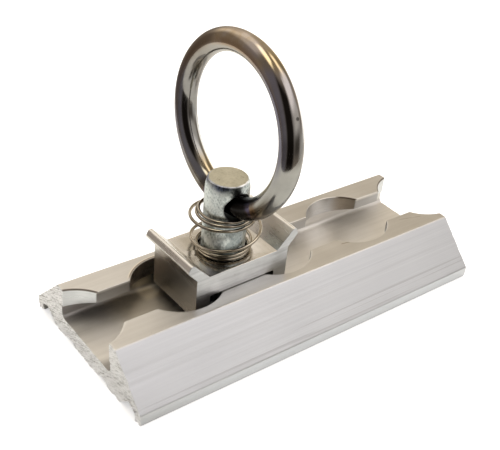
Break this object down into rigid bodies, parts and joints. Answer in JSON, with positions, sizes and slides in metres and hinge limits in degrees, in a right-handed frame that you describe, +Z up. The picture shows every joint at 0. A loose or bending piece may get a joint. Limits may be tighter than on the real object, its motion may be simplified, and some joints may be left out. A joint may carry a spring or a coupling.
{
  "type": "anchor track section with ring fitting",
  "caption": "Sawn length of aluminium anchor track with round entry holes and a sprung stud fitting carrying a swivelling, tilting steel ring for straps.",
  "frame": {"origin": "middle of the track's underside, on the surface it stands on", "axes": "+X along the track, +Y across the track, +Z up through the slot and the stud"},
  "size_m": [0.0972, 0.0444, 0.0679],
  "materials": {
    "track_aluminium": "mill finish extrusion, fine lengthwise drawing lines, bright rough saw-cut ends",
    "keeper_aluminium": "extruded, smooth and bright, brushed cut faces",
    "zinc_steel": "satin bluish zinc plating, slightly mottled",
    "ring_steel": "polished steel with brown and blue heat tint near the stud",
    "spring_steel": "drawn spring wire, warm grey"
  },
  "bodies": {
    "track": {"track": "track_aluminium"},
    "carriage": {"spring": "spring_steel"},
    "keeper": {"keeper": "keeper_aluminium"},
    "stud": {"stud": "zinc_steel"},
    "ring": {"ring": "ring_steel"}
  },
  "joints": [
    {"name": "fitting_slide", "type": "slide", "parent": "track", "child": "carriage", "axis": [1, 0, 0], "range_m": [-0.0002, 0.0025]},
    {"name": "keeper_lift", "type": "slide", "parent": "carriage", "child": "keeper", "axis": [0, 0, 1], "range_m": [0, 0.0053], "stiffness_N_per_m": 1000, "springref_m": -0.003, "deforming": ["spring"]},
    {"name": "stud_swivel", "type": "hinge", "parent": "carriage", "child": "stud", "pos_m": [-0.01405, 0, 0.0307], "axis": [0, 0, 1], "continuous": true},
    {"name": "ring_tilt", "type": "hinge", "parent": "stud", "child": "ring", "pos_m": [-0.01405, 0, 0.03105], "axis": [-0.0157, 0.9999, 0], "range_deg": [-93, 87]}
  ]
}
